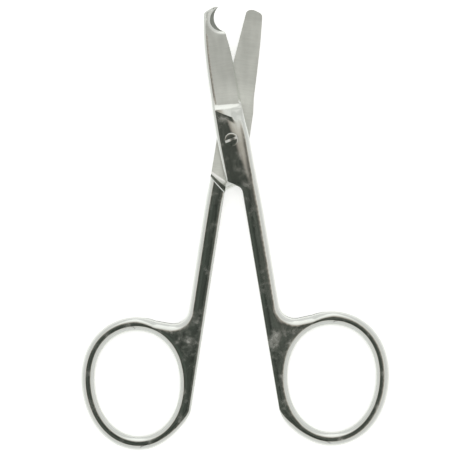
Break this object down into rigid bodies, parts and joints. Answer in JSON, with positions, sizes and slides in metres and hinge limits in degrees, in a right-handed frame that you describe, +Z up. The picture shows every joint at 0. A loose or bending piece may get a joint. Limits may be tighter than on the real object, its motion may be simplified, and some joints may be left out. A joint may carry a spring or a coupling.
{
  "type": "suture scissors",
  "caption": "Suture scissors lying open, with a hooked blade that lifts the stitch, a plain blunt blade, a lap joint on a slotted screw and oval finger rings.",
  "frame": {"origin": "on the pivot axis, at the height of the flat underside that the scissors lie on", "axes": "+Y from the pivot towards the blades, half way between the two halves; +X to the right, towards the hooked half's finger ring; +Z up along the pivot axis, towards the slotted screw head"},
  "size_m": [0.0617, 0.0888, 0.003],
  "materials": {
    "polished_stainless_steel": "polished stainless steel on the joint, shanks and rings, with satin blades",
    "turned_stainless_steel": "turned stainless steel screw, polished with the joint"
  },
  "bodies": {
    "plain_side": {"plain_half": "polished_stainless_steel", "pivot_screw": "turned_stainless_steel"},
    "hooked_side": {"hooked_half": "polished_stainless_steel"}
  },
  "joints": [
    {"name": "blade_pivot", "type": "hinge", "parent": "plain_side", "child": "hooked_side", "pos_m": [0, 0, 0.0015], "axis": [0, 0, 1], "range_deg": [-18.3, 100]}
  ]
}
